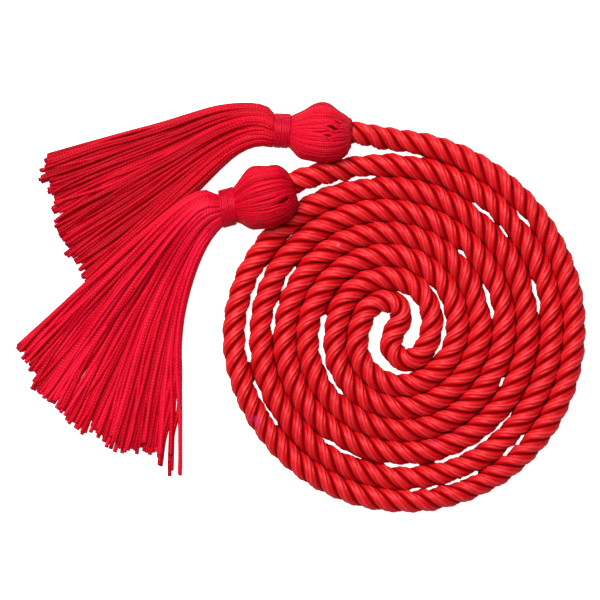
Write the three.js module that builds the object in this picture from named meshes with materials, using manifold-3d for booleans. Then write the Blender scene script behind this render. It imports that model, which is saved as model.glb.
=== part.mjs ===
// Honor cord: one long three-strand cord wound into a flat double coil, with a tassel on each end.
// Millimetres, +Z up. The origin is on the surface the cord lies on, at the middle of the coil,
// under the middle of the cord's S-shaped centre. +Y points to the side where the tassels leave.

import * as THREE from 'three';
import { mergeVertices } from 'three/addons/utils/BufferGeometryUtils.js';
import Module from 'manifold-3d';

// Driving sizes of the cord
const cordDiameter = 7.2;
const turnGap = 0.3;
const cordSides = 10;

// Driving sizes of the tassels
const fitClearance = 0.3;
const headLength = 19.8;
const headDiameter = 20.6;
const headGathers = 12;
const gatherDepth = 0.25;
const headSink = 0.7;
const mouthDrop = 2;
const neckDiameter = 9.4;
const bindingWidth = 5.8;
const bindingWall = 0.95;
const bindingLift = 0.45;
const fringeLength = 83;
const fringeThickness = 3.4;
const fringeFlare = 1;
const locksPerFringe = 10;

// Colours from the photograph
const cordColour = 0xd81c26;
const tasselColour = 0xcf0f34;

// One turn pitch is the cord and the gap to the next turn. Every place in the coil is a share of it.
const turnPitch = cordDiameter + turnGap;
const cordRadius = cordDiameter / 2;
const neckRadius = neckDiameter / 2;
const headRadius = headDiameter / 2;

// A head's underside sinks flat on the surface, the cord enters its mouth a little below its axis,
// and the neck hangs lower still, with the binding just clear of the surface.
const bindingInner = neckRadius + fitClearance;
const bindingOuter = bindingInner + bindingWall;
const axisHeight = headRadius - headSink;
const mouthHeight = axisHeight - mouthDrop;
const neckHeight = bindingOuter + bindingLift;

// The coil seen from above. Each row is a spoke from the coil's middle, in the order in which the
// cord is wound. The columns are the turns that cross it, a for the arm that ends at the upper
// tassel and b for the other, numbered from outside, each as a radius in turn pitches.
const coilSpokes = [
  { angle: 90, a0: 8.38, b0: 7.28, a1: 6.26, b1: 5.26, a2: 4.26, b2: 3.27, a3: 2.25 },
  { angle: 45, a0: 8.02, b0: 7.00, a1: 5.96, b1: 4.93, a2: 3.93, b2: 2.93, a3: 1.91 },
  { angle: 0, a0: 7.93, b0: 6.93, a1: 5.87, b1: 4.82, a2: 3.76, b2: 2.73, a3: 1.58 },
  { angle: -45, a0: 7.91, b0: 6.87, a1: 5.76, b1: 4.69, a2: 3.64, b2: 2.62, a3: 1.56 },
  { angle: -90, a0: 7.64, b0: 6.64, a1: 5.51, b1: 4.51, a2: 3.51, b2: 2.51 },
  { angle: -135, a0: 7.33, b0: 6.27, a1: 5.24, b1: 4.22, a2: 3.19, b2: 2.13 },
  { angle: -180, a0: 7.21, b0: 6.03, a1: 4.95, b1: 3.92, a2: 2.69, b2: 1.63 },
  { angle: -225, a0: 6.76, b0: 5.68, a1: 4.64, b1: 3.61, a2: 2.57, b2: 1.54 },
];
const ringsPerSpoke = 3;

// The stretches that aren't coiled, as points chosen by hand in turn pitches: the S in the middle,
// from arm a to arm b, the end of arm a from inside the upper tassel's head to the coil, and the
// end of arm b from the coil to inside the lower tassel's head. Rise is the share of the way up
// from the lying cord to a tassel's mouth.
const middlePoints = [
  { x: 0.56, y: -1.4 }, { x: 0.1, y: -1.28 }, { x: -0.19, y: -0.9 }, { x: -0.23, y: -0.48 },
  { x: 0.02, y: 0.04 }, { x: 0.26, y: 0.56 }, { x: 0.2, y: 0.9 }, { x: -0.06, y: 1.16 },
  { x: -0.5, y: 1.25 },
];
const upperEndPoints = [
  { x: -3.1, y: 8.71, rise: 1 }, { x: -2.0, y: 8.71, rise: 1 }, { x: -1.45, y: 8.64, rise: 0.85 },
  { x: -0.75, y: 8.51, rise: 0.35 },
];
const lowerEndPoints = [
  { x: -0.95, y: 7.27, rise: 0 }, { x: -1.95, y: 7.16, rise: 0.15 }, { x: -2.95, y: 6.97, rise: 0.5 },
  { x: -3.9, y: 6.72, rise: 0.9 }, { x: -4.55, y: 6.49, rise: 1 }, { x: -5.55, y: 6.17, rise: 1 },
];
const ringsPerPoint = 2;

// Where each tassel lies: its mouth in turn pitches, and its heading from the mouth to the fringe.
// Its fringe's edges are given by their heading at shares of the fringe's length.
const upperTassel = {
  name: 'upper', mouthX: -2.0, mouthY: 8.64, heading: 177, headShare: 0.975, lengthShare: 0.97,
  fan: [
    { at: 0, outer: 142, inner: 165 }, { at: 0.1, outer: 171, inner: 203 },
    { at: 0.2, outer: 189, inner: 222 }, { at: 0.3, outer: 198, inner: 226 },
    { at: 0.45, outer: 197, inner: 227 }, { at: 0.6, outer: 195, inner: 226 },
    { at: 1, outer: 196, inner: 225 },
  ],
};
const lowerTassel = {
  name: 'lower', mouthX: -4.51, mouthY: 6.18, heading: 194.8, headShare: 1.03, lengthShare: 1.03,
  fan: [
    { at: 0, outer: 166, inner: 222 }, { at: 0.1, outer: 194, inner: 241 },
    { at: 0.2, outer: 216, inner: 250 }, { at: 0.3, outer: 221, inner: 255.5 },
    { at: 0.45, outer: 221, inner: 262 }, { at: 0.6, outer: 222, inner: 267 },
    { at: 1, outer: 222, inner: 270 },
  ],
};

// The cord's route

function polar(radius, degrees, z) {
  const angle = THREE.MathUtils.degToRad(degrees);
  return new THREE.Vector3(radius * Math.cos(angle), radius * Math.sin(angle), z);
}

// Radii of one arm, turn after turn, as a smooth curve of radius over angle.
function armCurve(arm) {
  const knots = [];
  for (let turn = 0; turn < 4; turn++) {
    for (const spoke of coilSpokes) {
      const radius = spoke[arm + turn];
      if (radius !== undefined) {
        knots.push(new THREE.Vector2(spoke.angle - 360 * turn, radius * turnPitch));
      }
    }
  }
  return { curve: new THREE.SplineCurve(knots), steps: (knots.length - 1) * ringsPerSpoke };
}

function coilRings(arm) {
  const { curve, steps } = armCurve(arm);
  const rings = [];
  for (let i = 0; i <= steps; i++) {
    const knot = curve.getPoint(i / steps);
    rings.push(polar(knot.y, knot.x, cordRadius));
  }
  return rings;
}

function handPoint({ x, y, rise = 0 }) {
  const z = THREE.MathUtils.lerp(cordRadius, mouthHeight, rise);
  return new THREE.Vector3(x * turnPitch, y * turnPitch, z);
}

function headingVector(degrees) {
  return polar(1, degrees, 0);
}

function mouthOf(tassel) {
  return new THREE.Vector3(tassel.mouthX * turnPitch, tassel.mouthY * turnPitch, mouthHeight);
}

// Rings along hand-chosen points. The knots before and after them are rings of the coil, which
// only steer the curve.
function stretchRings(before, points, after) {
  const knots = [...before, ...points, ...after];
  const curve = new THREE.CatmullRomCurve3(knots, false, 'centripetal');
  const steps = (knots.length - 1) * ringsPerPoint;
  const first = before.length * ringsPerPoint;
  const last = steps - after.length * ringsPerPoint;
  const rings = [];
  for (let i = Math.max(first - 1, 0); i <= Math.min(last + 1, steps); i++) {
    const ring = curve.getPoint(i / steps);
    ring.z = Math.max(ring.z, cordRadius);
    rings.push(ring);
  }
  return rings;
}

// Rings from the cord's end inside one tassel's head to its end inside the other's.
// The extra length is what a clearance tube is longer at each end.
function cordRings(extraLength) {
  const armA = coilRings('a');
  const armB = coilRings('b').reverse();
  const rings = [
    ...stretchRings([], upperEndPoints.map(handPoint), armA.slice(0, 2)),
    ...armA,
    ...stretchRings(armA.slice(-2), middlePoints.map(handPoint), armB.slice(0, 2)),
    ...armB,
    ...stretchRings(armB.slice(-2), lowerEndPoints.map(handPoint), []),
  ];
  lengthenEnd(rings[0], rings[1], extraLength);
  lengthenEnd(rings.at(-1), rings.at(-2), extraLength);
  return rings;
}

function lengthenEnd(end, neighbour, extraLength) {
  const outward = end.clone().sub(neighbour).normalize();
  end.addScaledVector(outward, extraLength);
}

// A route that keeps the cord's section upright at every ring.
class CordRoute extends THREE.Curve {
  constructor(rings) {
    super();
    this.rings = rings;
  }

  getSpacedPoints() {
    return this.rings;
  }

  computeFrenetFrames() {
    const up = new THREE.Vector3(0, 0, 1);
    const last = this.rings.length - 1;
    const tangents = this.rings.map((ring, i) => {
      const from = this.rings[Math.max(i - 1, 0)];
      const to = this.rings[Math.min(i + 1, last)];
      const into = ring.clone().sub(from).normalize();
      const out = to.clone().sub(ring).normalize();
      return into.add(out).normalize();
    });
    const normals = tangents.map((tangent) => up.clone().cross(tangent).normalize());
    const binormals = tangents.map((tangent, i) => tangent.clone().cross(normals[i]));
    return { tangents, normals, binormals };
  }
}

// The cord's section, with a flat at its top and at its bottom.
function cordSection(radius) {
  const halfSide = Math.PI / cordSides;
  const flat = radius / Math.cos(halfSide);
  const corners = [];
  for (let i = 0; i < cordSides; i++) {
    const angle = Math.PI / 2 + halfSide + i * 2 * halfSide;
    corners.push(new THREE.Vector2(radius * Math.cos(angle), flat * Math.sin(angle)));
  }
  return new THREE.Shape(corners);
}

function cordTube(radius, extraLength) {
  const rings = cordRings(extraLength);
  return new THREE.ExtrudeGeometry(cordSection(radius), {
    steps: rings.length - 1,
    extrudePath: new CordRoute(rings),
  });
}

// Solids made by shaping a plain cylinder

// Place gets the share of the length, and the corner's place across and up in a unit circle.
function shapedCylinder(sides, steps, place) {
  const geometry = new THREE.CylinderGeometry(1, 1, 1, sides, steps, false, Math.PI / sides);
  const corners = geometry.getAttribute('position');
  for (let i = 0; i < corners.count; i++) {
    const share = 0.5 - corners.getY(i);
    const point = place(share, corners.getX(i), corners.getZ(i));
    corners.setXYZ(i, point.x, point.y, point.z);
  }
  return geometry;
}

function interpolate(rows, at, column) {
  let next = 1;
  while (next < rows.length - 1 && rows[next].at < at) {
    next++;
  }
  const [low, high] = [rows[next - 1], rows[next]];
  const share = THREE.MathUtils.clamp((at - low.at) / (high.at - low.at), 0, 1);
  return THREE.MathUtils.lerp(low[column], high[column], share);
}

// Manifold solids, only for joins and cuts

const wasm = await Module();
wasm.setup();

function toSolid(geometry) {
  const bare = geometry.clone();
  bare.deleteAttribute('normal');
  bare.deleteAttribute('uv');
  const merged = mergeVertices(bare, 1e-5);
  return new wasm.Manifold(new wasm.Mesh({
    numProp: 3,
    vertProperties: new Float32Array(merged.getAttribute('position').array),
    triVerts: new Uint32Array(merged.getIndex().array),
  }));
}

function toGeometry(solid) {
  const mesh = solid.getMesh();
  const geometry = new THREE.BufferGeometry();
  geometry.setAttribute('position', new THREE.BufferAttribute(mesh.vertProperties, 3));
  geometry.setIndex(new THREE.BufferAttribute(mesh.triVerts, 1));
  geometry.computeVertexNormals();
  return geometry;
}

// The tassels, each placed along its own line from the mouth through the neck to the fringe

function placeAlong(tassel, distance, across, z) {
  const point = mouthOf(tassel);
  point.addScaledVector(headingVector(tassel.heading), distance);
  point.addScaledVector(headingVector(tassel.heading + 90), across);
  point.z = z;
  return point;
}

// The head from its mouth to the neck: radius as a share of the head's radius, and height as a
// share of the way up to the head's axis, from the mouth's height in the half nearer the mouth
// and from the neck's height in the other.
const headProfile = [
  { at: 0, radius: 0.42, height: 0 }, { at: 0.07, radius: 0.62, height: 0.35 },
  { at: 0.18, radius: 0.83, height: 0.75 }, { at: 0.33, radius: 0.96, height: 1 },
  { at: 0.5, radius: 1, height: 1 }, { at: 0.66, radius: 0.93, height: 0.9 },
  { at: 0.82, radius: 0.77, height: 0.6 }, { at: 0.93, radius: 0.62, height: 0.25 },
  { at: 1, radius: 0.53, height: 0 },
];
const headSteps = 10;
const headSides = 2 * headGathers;

function headSolid(tassel) {
  return toSolid(shapedCylinder(headSides, headSteps, (share, x, y) => {
    const gather = gatherDepth * (0.5 - 0.5 * Math.sin(Math.atan2(y, x) * headGathers));
    const fullness = interpolate(headProfile, share, 'radius') * tassel.headShare;
    const radius = fullness * headRadius - gather;
    const rise = interpolate(headProfile, share, 'height');
    const height = THREE.MathUtils.lerp(share < 0.5 ? mouthHeight : neckHeight, axisHeight, rise);
    return placeAlong(tassel, share * headLength, x * radius, Math.max(height + y * radius, 0));
  }));
}

const bindingStart = headLength + fitClearance;
const fringeStart = bindingStart + bindingWidth + fitClearance;
const neckOverlap = 2;
const neckSides = 20;

function neckSolid(tassel) {
  const from = headLength - neckOverlap;
  const length = fringeStart + neckOverlap - from;
  return toSolid(shapedCylinder(neckSides, 1, (share, x, y) =>
    placeAlong(tassel, from + share * length, x * neckRadius, neckHeight + y * neckRadius)));
}

// A yarn's place in the fan: it leaves the neck across the tassel's axis and turns to the heading
// of its own share of the spread, from 0 at the outer edge to 1 at the inner.
const fanSteps = 40;
const fringeMouth = neckDiameter + fringeFlare;

function fanPoint(tassel, spread, share) {
  const across = (spread - 0.5) * fringeMouth;
  const point = placeAlong(tassel, fringeStart, across, 0);
  const stepShare = share / fanSteps;
  const stepLength = stepShare * tassel.lengthShare * fringeLength;
  for (let i = 0; i < fanSteps; i++) {
    const at = (i + 0.5) * stepShare;
    const outer = interpolate(tassel.fan, at, 'outer');
    const inner = interpolate(tassel.fan, at, 'inner');
    const heading = THREE.MathUtils.lerp(outer, inner, spread);
    point.addScaledVector(headingVector(heading), stepLength);
  }
  return point;
}

// The fringe's height over its length: thickness as a share of its thickness at the tips, and
// settle as the share of the way down from the round neck to the surface it lies on.
const fringeProfile = [
  { at: 0, thickness: 2.6, settle: 0 }, { at: 0.08, thickness: 2.4, settle: 0.3 },
  { at: 0.2, thickness: 1.9, settle: 0.8 }, { at: 0.35, thickness: 1.45, settle: 1 },
  { at: 0.6, thickness: 1.15, settle: 1 }, { at: 1, thickness: 1, settle: 1 },
];

function fringeHeight(tassel, share) {
  return interpolate(fringeProfile, share, 'thickness') * fringeThickness;
}

const outlineSteps = 16;

// A fan's outline seen from above.
function fanOutline(tassel) {
  const outline = [];
  for (let i = 0; i <= outlineSteps; i++) {
    outline.push(fanPoint(tassel, 0, i / outlineSteps));
  }
  for (let i = outlineSteps; i >= 0; i--) {
    outline.push(fanPoint(tassel, 1, i / outlineSteps));
  }
  return outline;
}

// How far a point lies outside a fan, seen from above, or 0 inside it.
function distanceOutside(outline, point) {
  let inside = false;
  let nearest = Infinity;
  const edge = new THREE.Line3();
  const foot = new THREE.Vector3();
  outline.forEach((corner, i) => {
    const next = outline[(i + 1) % outline.length];
    if ((corner.y > point.y) !== (next.y > point.y)) {
      const crossing = corner.x + (next.x - corner.x) * (point.y - corner.y) / (next.y - corner.y);
      inside = crossing > point.x ? !inside : inside;
    }
    edge.set(corner, next).closestPointToPoint(point, true, foot);
    nearest = Math.min(nearest, foot.distanceTo(point));
  });
  return inside ? 0 : nearest;
}

// The lower tassel's fringe lies over the upper's, and comes down to the surface beside it.
const restClearance = 2 * fitClearance;
const restMargin = 1.5;
const restSlope = 14;
const upperOutline = fanOutline(upperTassel);

function restHeight(tassel, point) {
  if (tassel !== lowerTassel) {
    return 0;
  }
  const flat = new THREE.Vector3(point.x, point.y, 0);
  const away = distanceOutside(upperOutline, flat);
  const cover = 1 - THREE.MathUtils.smoothstep(away, restMargin, restMargin + restSlope);
  const neck = placeAlong(upperTassel, fringeStart, 0, 0);
  const share = neck.distanceTo(flat) / fringeLength;
  return cover * (fringeHeight(upperTassel, share) + restClearance);
}

const lockSides = 8;
const lockSteps = 9;
const lockOverlap = 1.14;
const tipNarrowing = 0.3;
const tipStart = 0.86;
const tipUnevenness = 0.035;
const tipPattern = 2.4;

function lockSolid(tassel, index) {
  const middle = (index + 0.5) / locksPerFringe;
  const lockLength = 1 - tipUnevenness * (0.5 + 0.5 * Math.cos(tipPattern * index));
  const flatTop = Math.cos(Math.PI / lockSides);
  return toSolid(shapedCylinder(lockSides, lockSteps, (part, x, y) => {
    const share = part * lockLength;
    const narrow = 1 - tipNarrowing * THREE.MathUtils.smoothstep(part, tipStart, 1);
    const halfSpread = 0.5 * lockOverlap * narrow / locksPerFringe;
    const spread = middle + x / flatTop * halfSpread;
    const point = fanPoint(tassel, spread, share);
    const offset = Math.min(Math.abs(2 * middle - 1), 1);
    const halfChord = 0.5 * fringeMouth * Math.sqrt(1 - offset * offset);
    const settle = interpolate(fringeProfile, share, 'settle');
    const low = Math.max(
      THREE.MathUtils.lerp(neckHeight - halfChord, 0, settle),
      restHeight(tassel, point),
    );
    const thickness = THREE.MathUtils.lerp(2 * halfChord, fringeHeight(tassel, share), settle);
    point.z = low + thickness * (0.5 + 0.5 * y / flatTop);
    return point;
  }));
}

function tasselGeometry(tassel, clearanceTube) {
  const pieces = [headSolid(tassel), neckSolid(tassel)];
  for (let i = 0; i < locksPerFringe; i++) {
    pieces.push(lockSolid(tassel, i));
  }
  return toGeometry(wasm.Manifold.union(pieces).subtract(clearanceTube));
}

// The binding is a wound band around the neck, with a rounded outside.
const bindingRounding = 0.5;
const bindingSides = 24;

function bindingGeometry() {
  const half = bindingWidth / 2;
  const profile = [
    new THREE.Vector2(bindingInner, -half),
    new THREE.Vector2(bindingOuter - bindingRounding, -half),
    new THREE.Vector2(bindingOuter, -half + bindingRounding),
    new THREE.Vector2(bindingOuter, half - bindingRounding),
    new THREE.Vector2(bindingOuter - bindingRounding, half),
    new THREE.Vector2(bindingInner, half),
    new THREE.Vector2(bindingInner, -half),
  ];
  return new THREE.LatheGeometry(profile, bindingSides);
}

// The assembly

const honorCord = new THREE.Group();

function addMesh(name, geometry, colour, roughness) {
  const material = new THREE.MeshStandardMaterial({ color: colour, roughness, metalness: 0 });
  const mesh = new THREE.Mesh(geometry, material);
  mesh.name = name;
  honorCord.add(mesh);
  return mesh;
}

addMesh('cord', cordTube(cordRadius, 0), cordColour, 0.4);

const clearanceTube = toSolid(cordTube(cordRadius + fitClearance, fitClearance));
for (const tassel of [upperTassel, lowerTassel]) {
  addMesh(`${tassel.name}_tassel`, tasselGeometry(tassel, clearanceTube), tasselColour, 0.6);
  const binding = addMesh(`${tassel.name}_binding`, bindingGeometry(), tasselColour, 0.6);
  binding.position.copy(placeAlong(tassel, bindingStart + bindingWidth / 2, 0, neckHeight));
  binding.rotation.z = THREE.MathUtils.degToRad(tassel.heading - 90);
}

export default honorCord;
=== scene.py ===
import math
import random

import bmesh
import bpy
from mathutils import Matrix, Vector, kdtree, noise


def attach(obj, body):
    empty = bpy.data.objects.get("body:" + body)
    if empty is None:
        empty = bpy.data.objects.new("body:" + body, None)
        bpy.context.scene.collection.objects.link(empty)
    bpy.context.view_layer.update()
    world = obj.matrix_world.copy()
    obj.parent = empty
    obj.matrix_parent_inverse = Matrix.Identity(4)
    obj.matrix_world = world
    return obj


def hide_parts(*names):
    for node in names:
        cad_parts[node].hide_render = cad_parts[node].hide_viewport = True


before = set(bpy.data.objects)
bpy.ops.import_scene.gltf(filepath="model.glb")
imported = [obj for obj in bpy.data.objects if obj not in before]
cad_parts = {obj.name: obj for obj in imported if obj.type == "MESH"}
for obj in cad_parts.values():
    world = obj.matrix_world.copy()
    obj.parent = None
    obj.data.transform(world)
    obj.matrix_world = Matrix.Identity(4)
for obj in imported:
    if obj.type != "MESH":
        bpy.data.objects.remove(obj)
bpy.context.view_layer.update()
mm = 0.001
print("frame loaded")


# camera, straight above as in the photo

cameraSettings = {
    "photoSize": 600,  # pixels, both ways
    "millimetresPerPixel": 1 / 3,
    "coilCentre": (396, 329),  # the pixel where the frame's origin is
    "height": 1.2,
    "focusHeight": 4 * mm,  # the height at which the scale holds
    "sensor": 36,
}


def makeCamera(settings):
    data = bpy.data.cameras.new("camera")
    camera = bpy.data.objects.new("camera", data)
    bpy.context.scene.collection.objects.link(camera)
    scale = settings["millimetresPerPixel"] * mm
    centreX, centreY = settings["coilCentre"]
    middle = settings["photoSize"] / 2
    camera.location = ((middle - centreX) * scale, (centreY - middle) * scale, settings["height"])
    width = settings["photoSize"] * scale
    data.sensor_width = settings["sensor"]
    data.lens = settings["sensor"] * (settings["height"] - settings["focusHeight"]) / width
    bpy.context.scene.camera = camera


makeCamera(cameraSettings)


# small helpers

upright = Vector((0, 0, 1))


def polar(radius, degrees, z=0.0):
    angle = math.radians(degrees)
    return Vector((radius * math.cos(angle), radius * math.sin(angle), z))


def mix(low, high, share):
    return low + (high - low) * share


def smoothStep(value, low, high):
    share = min(max((value - low) / (high - low), 0), 1)
    return share * share * (3 - 2 * share)


def readTable(rows, at, column):
    # straight between the rows of a table that has an "at" column
    for low, high in zip(rows, rows[1:]):
        if at <= high["at"]:
            break
    share = min(max((at - low["at"]) / (high["at"] - low["at"]), 0), 1)
    return mix(low[column], high[column], share)


def smoothTable(rows, at, column):
    # the same, rounded through the rows
    index = 0
    while index < len(rows) - 2 and at > rows[index + 1]["at"]:
        index += 1
    low, high = rows[index], rows[index + 1]
    before, after = rows[max(index - 1, 0)], rows[min(index + 2, len(rows) - 1)]
    span = high["at"] - low["at"]
    share = min(max((at - low["at"]) / span, 0), 1)
    slopeLow = (high[column] - before[column]) / max(high["at"] - before["at"], 1e-9) * span
    slopeHigh = (after[column] - low[column]) / max(after["at"] - low["at"], 1e-9) * span
    return hermite(low[column], high[column], slopeLow, slopeHigh, share)


def hermite(start, end, startSlope, endSlope, t):
    return (start * (2 * t ** 3 - 3 * t ** 2 + 1) + startSlope * (t ** 3 - 2 * t ** 2 + t)
            + end * (3 * t ** 2 - 2 * t ** 3) + endSlope * (t ** 3 - t ** 2))


def directions(line, i):
    # along a line at its point i, level and square to it, and square to both
    tangent = (line[min(i + 1, len(line) - 1)] - line[max(i - 1, 0)]).normalized()
    side = upright.cross(tangent)
    side = side.normalized() if side.length > 1e-4 else Vector((1, 0, 0))
    return tangent, side, tangent.cross(side)


def makeObject(name, bm, material, smooth=True):
    mesh = bpy.data.meshes.new(name)
    bm.to_mesh(mesh)
    bm.free()
    mesh.materials.append(material)
    if smooth:
        mesh.shade_smooth()
    piece = bpy.data.objects.new(name, mesh)
    bpy.context.scene.collection.objects.link(piece)
    return piece


# the tube that every yarn and the cord are bent from

def makeTubeTemplate(sides, rings):
    # a flat grid rolled up along x, with its UV map across and along
    bm = bmesh.new()
    bm.loops.layers.uv.new("UVMap")
    bmesh.ops.create_grid(bm, x_segments=sides, y_segments=rings - 1, size=0.5, calc_uvs=True)
    for vert in bm.verts:
        angle = (vert.co.x + 0.5) * 2 * math.pi
        vert.co = (math.cos(angle), math.sin(angle), (vert.co.y + 0.5) * rings)
    bmesh.ops.remove_doubles(bm, verts=bm.verts, dist=0.01 / sides)
    edges = [edge for edge in bm.edges if edge.is_boundary]
    bmesh.ops.holes_fill(bm, edges=edges, sides=sides)
    bmesh.ops.recalc_face_normals(bm, faces=bm.faces)
    mesh = bpy.data.meshes.new("tube_template")
    bm.to_mesh(mesh)
    bm.free()
    slots = []
    for vert in mesh.vertices:
        turn = math.atan2(vert.co.y, vert.co.x) / (2 * math.pi) % 1
        slots.append((round(vert.co.z / rings * (rings - 1)), round(turn * sides) % sides))
    return {"mesh": mesh, "slots": slots, "sides": sides, "rings": rings}


def bendTube(bm, template, placeRing, lengthInMillimetres, values):
    # placeRing gives the corners of one ring. The UV map gets v in millimetres along the tube.
    firstVert, firstFace = len(bm.verts), len(bm.faces)
    bm.from_mesh(template["mesh"])
    bm.verts.ensure_lookup_table()
    bm.faces.ensure_lookup_table()
    rings = [placeRing(i / (template["rings"] - 1)) for i in range(template["rings"])]
    layers = {name: bm.verts.layers.float[name] for name in values}
    for index, (ring, side) in enumerate(template["slots"]):
        vert = bm.verts[firstVert + index]
        vert.co = rings[ring][side]
        for name, value in values.items():
            share = ring / (template["rings"] - 1)
            vert[layers[name]] = value(share, side) if callable(value) else value
    uvLayer = bm.loops.layers.uv.verify()
    for index in range(firstFace, len(bm.faces)):
        for loop in bm.faces[index].loops:
            loop[uvLayer].uv.y *= lengthInMillimetres


def roundRing(centre, side, up, radius, sides):
    corners = []
    for i in range(sides):
        angle = 2 * math.pi * i / sides
        corners.append(centre + side * (math.cos(angle) * radius) + up * (math.sin(angle) * radius))
    return corners


def sweptRings(centres, radii, sides):
    # round rings square to a line of centres
    rings = []
    for i, centre in enumerate(centres):
        _, side, up = directions(centres, i)
        rings.append(roundRing(centre, side, up, radii[i], sides))
    return rings


def addYarn(bm, template, centres, radii, values):
    rings = sweptRings(centres, radii, template["sides"])
    length = sum((b - a).length for a, b in zip(centres, centres[1:])) / mm
    count = template["rings"] - 1
    bendTube(bm, template, lambda share: rings[round(share * count)], length, values)


# the cord, along the route of the part's source

cordSettings = {
    "turnPitch": 7.5 * mm,
    "radius": 3.6 * mm,
    "ridgeRadius": 4.1 * mm,  # over the strands
    "diameter": 7.7 * mm,
    "mouthHeight": 7.6 * mm,
    "layLength": 18.5 * mm,
    "strands": 3,
    "pointsPerStrand": 18,
    "rings": 1745,
    "stepsPerSpoke": 15, "stepsPerSpan": 14,  # points between two marks of the route
    "crownOffset": 0.34, "crownRadius": 0.66,  # a strand's round back, in ridge radii
    "valleyWidth": 0.09, "valleyDepth": 0.4 * mm,  # the width in shares of a strand's
    "plyGrooves": ((0.4, 0.31 * mm), (0.67, 0.44 * mm)),  # place across a strand, and depth
    "grooveWidth": 0.08,
    "twistDrift": 0.7, "fullnessDrift": 0.07,  # hand-laid: radians, and share of the radius
    "overlap": 0.12 * mm,  # how far pressed turns sink into each other
    "poke": 0.3 * mm,  # and how far a strand reaches into the next turn's valley
    # half the distance between two turns at which they are pressed together and at which they
    # part, the same for the painted shade in their seam, and the most at which they can be made to touch
    "pressing": (4.12 * mm, 4.4 * mm), "shading": (4.2 * mm, 4.6 * mm), "touchWithin": 5 * mm,
    "sliverOpening": 0.8 * mm,  # the width from which a sliver is fully open
    "sliverCut": 0.14,  # share of its width that each side stands back, besides its valleys
    "markReach": 2 * mm,  # how far from a marked line the marks below count
}

# slivers of floor that show between turns: both ends in the photo's pixels, and the width in mm
slivers = [
    ((484, 283), (494, 319), 1.4), ((278, 299), (269, 336), 1.2), ((346, 181), (378, 177), 0.7),
    ((322, 437), (353, 456), 1.0), ((428, 281), (446, 317), 0.5), ((297, 266), (282, 292), 1.0),
    ((388, 153), (423, 159), 1.1), ((328, 187), (292, 206), 2.0), ((325, 367), (344, 396), 1.0),
    ((469, 203), (496, 223), 0.8), ((516, 210), (530, 230), 0.9), ((532, 277), (540, 315), 1.1),
    ((330, 186), (344, 182), 0.7), ((446, 486), (461, 479), 1.0), ((499, 387), (504, 378), 0.9),
    ((461, 479), (479, 472), 1.1), ((515, 445), (525, 435), 1.3), ((426, 489), (439, 486), 1.2),
    ((457, 250), (467, 259), 0.9), ((498, 227), (507, 237), 0.9), ((269, 413), (277, 426), 0.8),
    ((409, 490), (421, 489), 1.1), ((502, 455), (514, 446), 1.1),
]
# and stretches where turns that lie a little apart still touch
touching = [
    ((325, 316), (336, 290)), ((264, 264), (285, 241)), ((362, 458), (385, 465)),
    ((421, 467), (434, 460)), ((249, 379), (255, 362)), ((512, 412), (531, 376)),
]

# radii in turn pitches of each turn at the coil's spokes, wound clockwise from outside
coilSpokes = [
    {"angle": 90, "a": (8.38, 6.26, 4.26, 2.25), "b": (7.28, 5.26, 3.27)},
    {"angle": 45, "a": (8.02, 5.96, 3.93, 1.91), "b": (7.00, 4.93, 2.93)},
    {"angle": 0, "a": (7.93, 5.87, 3.76, 1.58), "b": (6.93, 4.82, 2.73)},
    {"angle": -45, "a": (7.91, 5.76, 3.64, 1.56), "b": (6.87, 4.69, 2.62)},
    {"angle": -90, "a": (7.64, 5.51, 3.51), "b": (6.64, 4.51, 2.51)},
    {"angle": -135, "a": (7.33, 5.24, 3.19), "b": (6.27, 4.22, 2.13)},
    {"angle": -180, "a": (7.21, 4.95, 2.69), "b": (6.03, 3.92, 1.63)},
    {"angle": -225, "a": (6.76, 4.64, 2.57), "b": (5.68, 3.61, 1.54)},
]

# the stretches that aren't coiled, in turn pitches, with the share of the rise to a mouth
middlePoints = [
    (0.56, -1.4, 0), (0.1, -1.28, 0), (-0.19, -0.9, 0), (-0.23, -0.48, 0), (0.02, 0.04, 0),
    (0.26, 0.56, 0), (0.2, 0.9, 0), (-0.06, 1.16, 0), (-0.5, 1.25, 0),
]
upperEndPoints = [(-3.1, 8.71, 1), (-2.0, 8.71, 1), (-1.45, 8.64, 0.85), (-0.75, 8.51, 0.35)]
lowerEndPoints = [
    (-0.95, 7.27, 0), (-1.95, 7.16, 0.15), (-2.95, 6.97, 0.5), (-3.9, 6.72, 0.9),
    (-4.55, 6.49, 1), (-5.55, 6.17, 1),
]


def armPoints(arm, settings):
    # smooth in radius over angle
    pitch = settings["turnPitch"]
    knots = []
    for turn in range(4):
        for spoke in coilSpokes:
            if turn < len(spoke[arm]):
                knots.append({"at": 360 * turn - spoke["angle"], "radius": spoke[arm][turn] * pitch})
    start, end = knots[0]["at"], knots[-1]["at"]
    count = (len(knots) - 1) * settings["stepsPerSpoke"]
    points = []
    for i in range(count + 1):
        at = mix(start, end, i / count)
        points.append(polar(smoothTable(knots, at, "radius"), -at, settings["radius"]))
    return points


def handPoints(rows, settings):
    # from turn pitches, and the share of the rise from the floor to a mouth
    pitch = settings["turnPitch"]
    return [Vector((x * pitch, y * pitch, mix(settings["radius"], settings["mouthHeight"], rise)))
            for x, y, rise in rows]


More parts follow.
